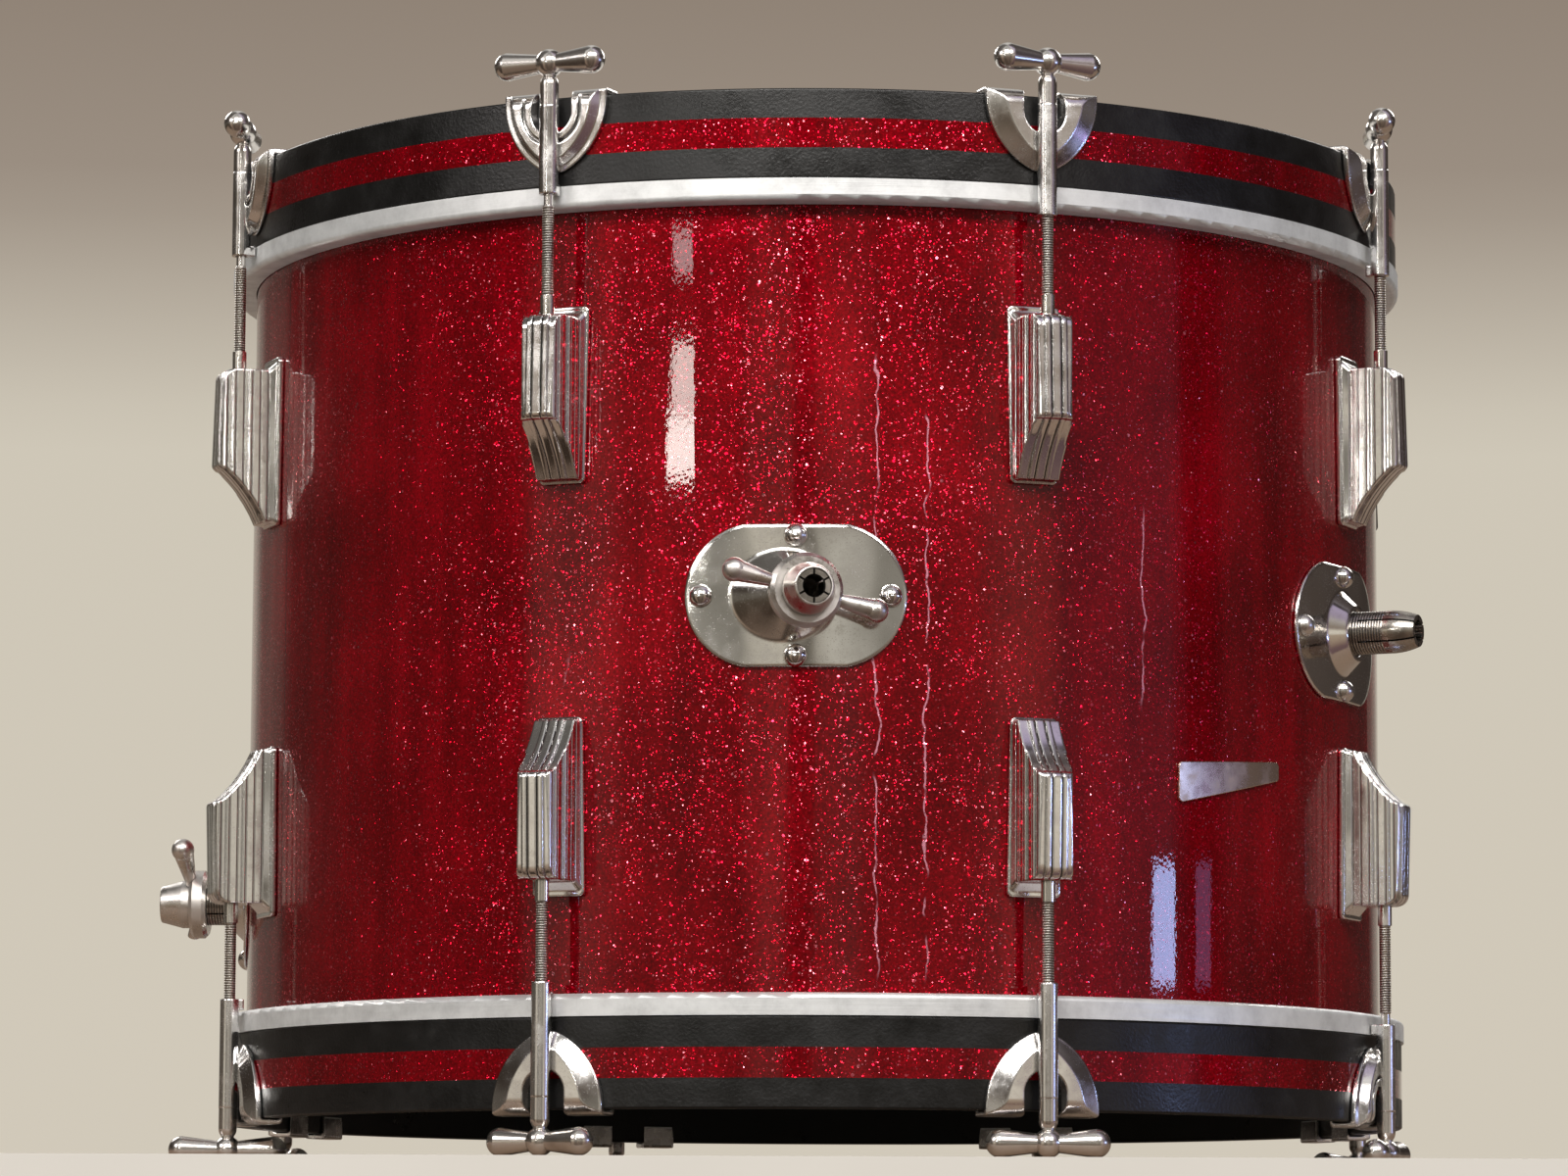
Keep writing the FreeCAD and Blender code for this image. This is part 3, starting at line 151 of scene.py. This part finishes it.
def deep_red(look, place):
    """The colour under the flakes, with clouds, upright streaks and grit."""
    cloud = look.noise(16.0, place, detail=3.0)
    streak = look.noise(1.0, look.scaled((70.0, 70.0, 5.0), place))
    grit = look.noise(900.0, place)
    depth = look.math("ADD", look.math("MULTIPLY", cloud, 0.35), look.math("MULTIPLY", streak, 0.25))
    depth = look.math("ADD", depth, look.math("MULTIPLY", grit, 0.4))
    return look.ramp(depth, (0.36, (0.070, 0.0001, 0.0012)), (0.50, (0.145, 0.0002, 0.0026)),
                     (0.66, (0.30, 0.0004, 0.006)))


def strewn(look, place, base):
    """The colour with its flakes on, and the flakes' mask."""
    crowd = look.smooth(look.noise(24.0, place), 0.35, 0.70, 0.0, 0.12)
    foil = 0.0
    for scale, rarity, reach in FLAKES:
        cells = look.cells(scale, place)
        chance, tint, _ = look.split(cells.outputs["Color"])
        near = look.math("LESS_THAN", cells.outputs["Distance"], reach)
        chosen = look.smooth(look.math("ADD", chance, crowd), rarity, rarity + 0.08)
        picked = look.math("MULTIPLY", chosen, near)
        colour = look.ramp(tint, (0.0, (0.58, 0.001, 0.012)), (0.45, (0.92, 0.005, 0.036)),
                           (0.82, (0.92, 0.032, 0.085)), (0.98, (0.95, 0.26, 0.33)))
        base = look.mix(picked, base, colour)
        foil = look.math("MAXIMUM", foil, picked)
    return base, foil


def foil_normal(look, place, foil):
    """The surface's normal, tipped its own way in each small cell and furthest on the foil."""
    tilt = look.vector("SUBTRACT", look.cells(1250.0, place).outputs["Color"], (0.5, 0.5, 0.5))
    tilt = look.vector("SCALE", tilt, Scale=look.math("MULTIPLY_ADD", foil, 0.45, 0.15))
    normal = look.node("NewGeometry").outputs["Normal"]
    return look.vector("NORMALIZE", look.vector("ADD", normal, tilt))


def cracked(look, place, base):
    """The colour with the wrap's pale wandering cracks and its dark seam."""
    x, y, z = look.split(place)
    angle = look.azimuth(x, y)
    wander = look.math("MULTIPLY", look.math("SUBTRACT", look.noise(55.0, place, detail=4.0), 0.5), 0.010)
    broken = look.smooth(look.noise(60.0, place, detail=3.0), 0.38, 0.52)
    for azimuth, low, high in CRACKS:
        off = look.math("SUBTRACT", angle, math.radians(azimuth))
        across = look.math("ABSOLUTE", look.math("ADD", look.math("MULTIPLY", off, WRAP_RADIUS), wander))
        line = look.smooth(across, 0.15 * MM, 0.55 * MM, 1.0, 0.0)
        within = look.math("MULTIPLY", look.smooth(z, low, low + CRACK_FADE),
                           look.smooth(z, high - CRACK_FADE, high, 1.0, 0.0))
        mark = look.math("MULTIPLY", look.math("MULTIPLY", line, within), broken)
        base = look.mix(look.math("MULTIPLY", mark, 0.75), base, (0.75, 0.32, 0.42))
    seam = look.math("ABSOLUTE", look.math("SUBTRACT", angle, math.radians(SEAM_AZIMUTH)))
    return look.mix(look.smooth(seam, 0.0012, 0.0028, 0.7, 0.0), base, (0.05, 0.0, 0.004))


def sparkle(name, worn):
    """Deep red sheet with flakes of bright foil under a clear, slightly rippled gloss."""
    look = Look(name, Coat_Weight=1.0, Coat_Roughness=0.02, Coat_IOR=1.36, Specular_IOR_Level=0.0)
    place = look.place()
    base, foil = strewn(look, place, deep_red(look, place))
    if worn:
        base = cracked(look, place, base)
    wave = look.noise(1.0, look.scaled((45.0, 45.0, 3.0), place), detail=1.0)
    ripple = look.noise(1.0, look.scaled((800.0, 800.0, 420.0), place), detail=1.0)
    look.set(Base_Color=base, Metallic=look.math("MULTIPLY_ADD", foil, 0.60, 0.40),
             Roughness=look.math("MULTIPLY_ADD", foil, -0.18, 0.42), Normal=foil_normal(look, place, foil),
             Coat_Normal=look.bump(ripple, 0.010 * MM, 1.0, look.bump(wave, 0.25 * MM)))
    return look.material


# ------------------------------------------------------------------------------------ plated metal

THREAD_PITCH = 25.4 / 24 * MM
THREAD_END = 0.164                  # from the drum's middle to the end of a rod's thread
COLLET_PITCH = 25.4 / 20 * MM
COLLET_THREAD = (-16 * MM, 3 * MM)  # its ends, along the bore from the mount's point
LUG_GROOVE_PITCH = 3.6 * MM         # measured out from the drum's axis
FADE = 1 * MM                       # a thread runs out over this length
DIRT = (0.30, 0.25, 0.19)
DEEP_DIRT = (0.20, 0.17, 0.13)
# painted shade: the near-black colour put into recesses, and how far round them ambient occlusion looks
RECESS_PAINTED_SHADE = (0.035, 0.030, 0.026)
RECESS_REACH = 2.5 * MM


def waves(look, along, pitch):
    return look.math("SINE", look.math("MULTIPLY", along, 2 * math.pi / pitch))


def plated(look, tone, rough, pitting, normal=None, groove=0.0, dirt=DIRT):
    """Sets plated metal with dirty pits and stains, a little haze, and painted shade in its low places and
    grooves.
    """
    place = look.place()
    haze = look.noise(60.0, place, detail=4.0, rough=0.65)
    pits = look.cells(1500.0, place)
    chance = look.split(pits.outputs["Color"])[0]
    spot = look.math("MULTIPLY", look.smooth(pits.outputs["Distance"], 0.10, 0.40, 1.0, 0.0),
                     look.smooth(chance, 1.0 - 0.6 * pitting, 1.0))
    stain = look.smooth(look.noise(140.0, place, detail=5.0, rough=0.7), 0.58, 0.80)
    colour = look.mix(look.math("MULTIPLY", look.math("MAXIMUM", spot, stain), 0.4), tone, dirt)
    # painted shade: the colour is darkened almost to black where ambient occlusion finds a recess, and along
    # the grooves passed in
    open_air = look.node("AmbientOcclusion", {"Distance": RECESS_REACH}, samples=6).outputs["AO"]
    low = look.math("MAXIMUM", look.smooth(open_air, 0.30, 0.80, 0.75, 0.0), groove)
    colour = look.mix(low, colour, RECESS_PAINTED_SHADE)
    scratch = look.noise(1.0, look.scaled((900.0, 900.0, 60.0), place))
    height = look.math("SUBTRACT", look.math("MULTIPLY", scratch, 0.25), look.math("MULTIPLY", spot, 0.6))
    shine = look.smooth(haze, 0.35, 0.75, rough * 0.6, rough * 1.7)
    look.set(Base_Color=colour, Roughness=look.math("ADD", shine, look.math("MULTIPLY", spot, 0.2)),
             Normal=look.bump(height, 0.012 * MM, 0.5, normal))


def rounded(look, ease):
    """The normal, with arrises that look rounded over the length ease."""
    return look.node("Bevel", {"Radius": ease}, samples=12).outputs[0]


def chrome(name, tone, rough, pitting=0.5, ease=0.0, buckle=0.0):
    """Plated metal; ease is how far its arrises look rounded, buckle the depth of its long waves."""
    look = Look(name, Metallic=1.0)
    normal = rounded(look, ease) if ease else None
    if buckle:
        normal = look.bump(look.noise(26.0, detail=1.0), buckle, 1.0, normal)
    plated(look, tone, rough, pitting, normal)
    return look.material


def screwed(name, mount, tone, rough):
    """A plated collet with its outside thread cut round the axis of its bore, the thread's grooves painted
    dark as shade.
    """
    look = Look(name, Metallic=1.0)
    along = look.vector("DOT_PRODUCT", look.place(), mount["axis"])
    seat = sum(a * b for a, b in zip(mount["pos_m"], mount["axis"]))
    start, end = (seat + offset for offset in COLLET_THREAD)
    wave = waves(look, along, COLLET_PITCH)
    cut = look.math("MULTIPLY", look.smooth(along, start, start + FADE),
                    look.smooth(along, end - FADE, end, 1.0, 0.0))
    thread = look.bump(look.math("MULTIPLY", wave, cut), 0.22 * MM, 0.9)
    # painted shade: this mask darkens the colour in the thread's grooves
    groove = look.math("MULTIPLY", look.smooth(wave, -0.8, 0.5, 0.7, 0.0), cut)
    plated(look, tone, rough, 0.4, thread, groove, DEEP_DIRT)
    return look.material


def ribbed(name, tone, rough, ease):
    """A lug's plating, with fine grooves down its flanks that are also painted half dark as shade; its front
    face and its tail are left plain.
    """
    look = Look(name, Metallic=1.0)
    x, y, _ = look.split(look.place())
    reach = look.math("SQRT", look.math("ADD", look.math("MULTIPLY", x, x), look.math("MULTIPLY", y, y)))
    face = look.node("NewGeometry").outputs["True Normal"]
    outward = look.vector("NORMALIZE", look.node("CombineXYZ", {0: x, 1: y}).outputs[0])
    turned = look.math("ABSOLUTE", look.vector("DOT_PRODUCT", face, outward))
    upright = look.smooth(look.math("ABSOLUTE", look.split(face)[2]), 0.25, 0.5, 1.0, 0.0)
    flank = look.math("MULTIPLY", look.smooth(turned, 0.3, 0.5, 1.0, 0.0), upright)
    groove = look.math("MULTIPLY", look.smooth(waves(look, reach, LUG_GROOVE_PITCH), 0.45, 0.95), flank)
    normal = look.bump(groove, -0.40 * MM, 0.8, rounded(look, ease))
    # painted shade: half the groove mask darkens the grooves' colour
    plated(look, tone, rough, 0.8, normal, look.math("MULTIPLY", groove, 0.5))
    return look.material


def threaded(name):
    """Plated rod where it is cut: brassy threads with painted shade, dark brown and mottled with grime, in
    their grooves; bright elsewhere.
    """
    look = Look(name, Metallic=1.0)
    z = look.split(look.place())[2]
    wave = waves(look, z, THREAD_PITCH)
    # painted shade: the thread grooves are coloured dark brown, mottled by the grime noise below
    groove = look.smooth(wave, -0.9, 0.4, 1.0, 0.0)
    dirt = look.noise(90.0, detail=4.0)
    flank = look.mix(look.smooth(dirt, 0.35, 0.7), (0.20, 0.16, 0.11), (0.10, 0.085, 0.07))
    cut_colour = look.mix(groove, (0.82, 0.79, 0.74), flank)
    plain = look.mix(look.smooth(dirt, 0.5, 0.8, 0.0, 0.5), (0.80, 0.775, 0.745), (0.36, 0.30, 0.25))
    reach = look.math("ABSOLUTE", look.math("SUBTRACT", z, MIDDLE))
    cut = look.smooth(reach, THREAD_END - FADE, THREAD_END, 1.0, 0.0)
    look.set(Base_Color=look.mix(cut, plain, cut_colour),
             Roughness=look.math("MULTIPLY_ADD", cut, 0.14, 0.22),
             Normal=look.bump(look.math("MULTIPLY", wave, cut), 0.25 * MM, 0.9))
    return look.material


# ------------------------------------------------------------------------------------ paint, wood, film

def lacquer(name):
    """Satin black paint with a fine pebble in it, dusty in places."""
    look = Look(name, Specular_IOR_Level=0.50)
    place = look.place()
    pebble = look.noise(760.0, place)
    dust = look.noise(35.0, place, detail=5.0, rough=0.7)
    colour = look.ramp(dust, (0.35, (0.003, 0.003, 0.003)), (0.60, (0.006, 0.006, 0.006)),
                       (0.85, (0.016, 0.016, 0.015)))
    look.set(Base_Color=colour, Roughness=look.smooth(dust, 0.3, 0.8, 0.26, 0.50),
             Normal=look.bump(pebble, 0.15 * MM, 0.8))
    return look.material


def rolled_aluminium(name):
    """Light grey metal, rubbed lengthwise round the hoop."""
    look = Look(name, Metallic=0.5)
    place = look.place()
    lines = look.noise(1.0, look.scaled((16.0, 16.0, 2600.0), place), detail=3.0, rough=0.7)
    marks = look.noise(70.0, place, detail=5.0, rough=0.7)
    colour = look.ramp(marks, (0.30, (0.60, 0.61, 0.615)), (0.55, (0.77, 0.785, 0.79)),
                       (0.80, (0.86, 0.875, 0.88)))
    look.set(Base_Color=colour, Roughness=look.smooth(lines, 0.3, 0.7, 0.34, 0.52),
             Normal=look.bump(lines, 0.05 * MM, 0.6))
    return look.material


def plywood(name):
    """Sealed maple with its grain round the shell."""
    look = Look(name, Roughness=0.42, Coat_Weight=0.3, Coat_Roughness=0.25)
    place = look.place()
    grain = look.noise(1.0, look.scaled((22.0, 22.0, 260.0), place), detail=5.0, rough=0.6, distortion=0.3)
    colour = look.ramp(grain, (0.30, (0.36, 0.21, 0.10)), (0.55, (0.52, 0.34, 0.18)),
                       (0.80, (0.62, 0.44, 0.26)))
    look.set(Base_Color=colour, Normal=look.bump(grain, 0.08 * MM, 0.4))
    return look.material


def coated_film(name):
    """White drumhead with a fine tooth, greyer where it has been played."""
    look = Look(name)
    place = look.place()
    tooth = look.noise(900.0, place, detail=3.0)
    worn = look.noise(7.0, place, detail=4.0, rough=0.6)
    colour = look.ramp(worn, (0.30, (0.80, 0.79, 0.75)), (0.60, (0.86, 0.855, 0.83)),
                       (0.85, (0.74, 0.72, 0.68)))
    look.set(Base_Color=colour, Roughness=look.smooth(worn, 0.3, 0.8, 0.52, 0.7),
             Normal=look.bump(tooth, 0.05 * MM, 0.6))
    return look.material


# ------------------------------------------------------------------------------------ pieces

def wear(names, material):
    for name in names:
        slots = NODES[name].data.materials
        slots.clear()
        slots.append(material)


def named(start):
    return sorted(name for name in NODES if name.startswith(start))


wear(["shell_wrap"], sparkle("red_sparkle_sheet", worn=True))
wear(named("hoop_inlay"), sparkle("red_sparkle_inlay", worn=False))
wear(named("wood_hoop"), lacquer("black_lacquer"))
wear(named("flesh_hoop"), rolled_aluminium("rolled_aluminium"))
wear(["shell", "reinforcement_rings"], plywood("plywood"))
wear(named("head_"), coated_film("coated_film"))
wear(named("tension_rod"), threaded("plated_rod"))
wear(["lug_swivel_nuts"], chrome("nut_plate", (0.78, 0.75, 0.70), 0.20))
wear(["lug_screws", "mount_nuts", "mount_screws", "vent_grommet"],
     chrome("screw_plate", (0.80, 0.785, 0.765), 0.22, pitting=0.3))
wear(named("mount_plate"),
     chrome("plate_chrome", (0.88, 0.87, 0.85), 0.12, pitting=1.0, ease=2.2 * MM, buckle=1.2 * MM))
for name in named("collet"):
    wear([name], screwed(name + "_plate", MOUNTS["arm_" + name], (0.50, 0.47, 0.43), 0.22))
wear(["blank_badge"], chrome("badge_chrome", (0.85, 0.70, 0.58), 0.30, pitting=0.2, ease=0.5 * MM))
wear(named("wing_nut"), chrome("wing_chrome", (0.76, 0.73, 0.70), 0.32, pitting=0.3))
wear(named("claw"), chrome("claw_chrome", (0.86, 0.85, 0.84), 0.20, pitting=0.7, ease=1.2 * MM))
wear(named("lug_casings"), ribbed("lug_chrome", (0.92, 0.91, 0.90), 0.15, ease=1.3 * MM))


# ------------------------------------------------------------------------------------ stage

def add(name, data):
    item = bpy.data.objects.new(name, data)
    bpy.context.scene.collection.objects.link(item)
    return item


def make_floor():
    """A pale shelf whose front edge stands just in front of the drum's foot; mirrors see brown wood."""
    front, back, side, thick = -0.272, 1.6, 2.0, 0.045
    mesh = bmesh.new()
    bmesh.ops.create_cube(mesh, size=1.0)
    for vert in mesh.verts:
        vert.co.x *= 2 * side
        vert.co.y = front if vert.co.y < 0 else back
        vert.co.z = -thick if vert.co.z < 0 else 0.0
    data = bpy.data.meshes.new("floor")
    mesh.to_mesh(data)
    mesh.free()
    look = Look("pale_floor", Roughness=0.6)
    pale = look.ramp(look.noise(6.0, detail=3.0), (0.3, (0.66, 0.63, 0.58)), (0.7, (0.70, 0.67, 0.62)))
    mirrored = look.node("LightPath").outputs["Is Glossy Ray"]
    look.set(Base_Color=look.mix(mirrored, pale, (0.24, 0.17, 0.12)))
    data.materials.append(look.material)
    floor = add("floor", data)


# ------------------------------------------------------------------------------------ world

def grey(level):
    return (level, level, level)


# the room's wall, from straight down (0) over the horizon (0.5) to straight up (1); the dark band that
# starts at 0.572 is a painted shadow on the wall
WALL = [
    (0.0, (0.16, 0.11, 0.08)), (0.30, (0.26, 0.18, 0.13)), (0.49, (0.38, 0.30, 0.22)),
    (0.51, (0.64, 0.585, 0.49)), (0.572, (0.62, 0.57, 0.475)), (0.592, (0.33, 0.275, 0.225)),
    (0.62, (0.24, 0.19, 0.15)), (0.68, (0.30, 0.26, 0.22)), (0.80, (0.60, 0.57, 0.53)),
    (1.0, (0.85, 0.83, 0.80))]

# how brightly mirrors see it, from the back (0) over the left (0.25), the front (0.5) and the right (0.75)
SIDES = [
    (0.0, grey(0.9)), (0.05, grey(0.8)), (0.08, grey(0.26)), (0.12, grey(0.36)), (0.135, (0.12, 0.11, 0.11)),
    (0.335, (0.16, 0.15, 0.14)), (0.35, grey(1.0)), (0.385, grey(1.0)), (0.40, grey(0.42)),
    (0.465, grey(0.30)), (0.475, grey(0.90)), (0.488, grey(0.80)), (0.493, (0.16, 0.15, 0.15)),
    (0.503, (0.20, 0.19, 0.18)), (0.508, grey(0.55)), (0.525, (0.80, 0.82, 0.85)), (0.54, grey(0.36)),
    (0.59, (0.42, 0.42, 0.44)), (0.61, grey(1.0)), (0.63, grey(1.0)), (0.65, (0.55, 0.48, 0.66)),
    (0.715, (0.55, 0.48, 0.70)), (0.725, (0.06, 0.05, 0.05)), (0.745, (0.06, 0.05, 0.05)),
    (0.76, (0.22, 0.20, 0.22)), (0.80, (0.12, 0.10, 0.10)), (0.93, (0.06, 0.05, 0.05)), (0.97, grey(0.9))]


def make_world():
    """A pale room: the camera sees a wall that darkens upwards, a painted shadow on it; mirrors see it
    bright and dark by turns.
    """
    look = Sky("room")
    x, y, z = look.split(look.node("TexCoord").outputs["Generated"])
    height = look.math("MULTIPLY_ADD", z, 0.5, 0.5)
    turn = look.math("MULTIPLY_ADD", look.azimuth(x, y), 0.5 / math.pi, 0.5)
    wall = look.ramp(height, *WALL)
    mirrored = look.mix(1.0, wall, look.ramp(turn, *SIDES), "MULTIPLY")
    rays = look.node("LightPath").outputs
    colour = look.mix(rays["Is Glossy Ray"], (0.31, 0.30, 0.28), mirrored)
    colour = look.mix(rays["Is Transmission Ray"], colour, mirrored)
    look.set(Color=look.mix(rays["Is Camera Ray"], colour, wall))


# ------------------------------------------------------------------------------------ lamps and camera

DRUM = (0, 0, 0.25)
WRAP_LEFT = (-0.045, -0.25, 0.30)  # where the left windows are seen mirrored in the wrap
WRAP_RIGHT = (0.15, -0.20, 0.1)

# name, place, point it faces, width, height, power, colour
LAMPS = [
    ("key", (-0.30, -2.7, 2.0), (0, 0, 0.30), 1.4, 0.9, 59.0, (1.0, 0.97, 0.93)),
    ("fill", (1.4, -2.5, 2.0), DRUM, 1.0, 0.9, 34.0, (1.0, 0.95, 0.92)),
    ("left", (-2.2, -1.7, 1.5), DRUM, 0.9, 0.7, 15.0, (1.0, 0.94, 0.92)),
    ("back_left", (-1.7, 2.1, 1.9), DRUM, 1.2, 0.9, 20.0, (1.0, 0.97, 0.94)),
    ("back_right", (1.6, 2.3, 1.9), DRUM, 1.2, 0.9, 17.0, (1.0, 0.97, 0.94)),
    ("window_left_low", (-1.00, -2.30, 0.617), WRAP_LEFT, 0.21, 0.052, 1.15, (1.0, 0.97, 0.90)),
    ("window_left_high", (-0.98, -2.30, 0.672), WRAP_LEFT, 0.20, 0.055, 0.75, (1.0, 0.95, 0.88)),
    ("window_left_top", (-0.98, -2.30, 0.772), WRAP_LEFT, 0.16, 0.036, 0.16, (1.0, 1.0, 1.0)),
    ("window_right", (2.02, -0.69, 0.222), WRAP_RIGHT, 0.22, 0.09, 1.5, (0.40, 0.55, 1.0)),
    ("window_far_right", (2.07, -0.34, 0.222), WRAP_RIGHT, 0.17, 0.09, 0.10, (0.60, 0.45, 1.0))]


def soft_box(name, place, target, width, height, power, colour):
    lamp = bpy.data.lights.new(name, "AREA")
    lamp.shape = "RECTANGLE"
    lamp.size, lamp.size_y, lamp.energy, lamp.color = width, height, power, colour
    item = add(name, lamp)
    item.location = place
    item.rotation_euler = (Vector(target) - Vector(place)).to_track_quat("-Z", "Y").to_euler()


def make_camera():
    """Stands off the drum's front, a little below its foot, and looks up at it."""
    azimuth, distance, height = math.radians(1.743), 2.7074, -0.0622
    yaw, pitch, roll = 0.0051, 0.1198, -0.0045
    place = Vector((distance * math.sin(azimuth), -distance * math.cos(azimuth), height))
    camera = bpy.data.cameras.new("camera")
    camera.sensor_width = 36.0
    camera.lens = 137.9
    item = add("camera", camera)
    turn = (Matrix.Rotation(azimuth + yaw, 4, "Z") @ Matrix.Rotation(math.pi / 2 + pitch, 4, "X")
            @ Matrix.Rotation(-roll, 4, "Z"))
    item.matrix_world = Matrix.Translation(place) @ turn
    bpy.context.scene.camera = item


make_floor()
make_world()
for lamp in LAMPS:
    soft_box(*lamp)
make_camera()
bpy.context.scene.view_settings.view_transform = "Standard"
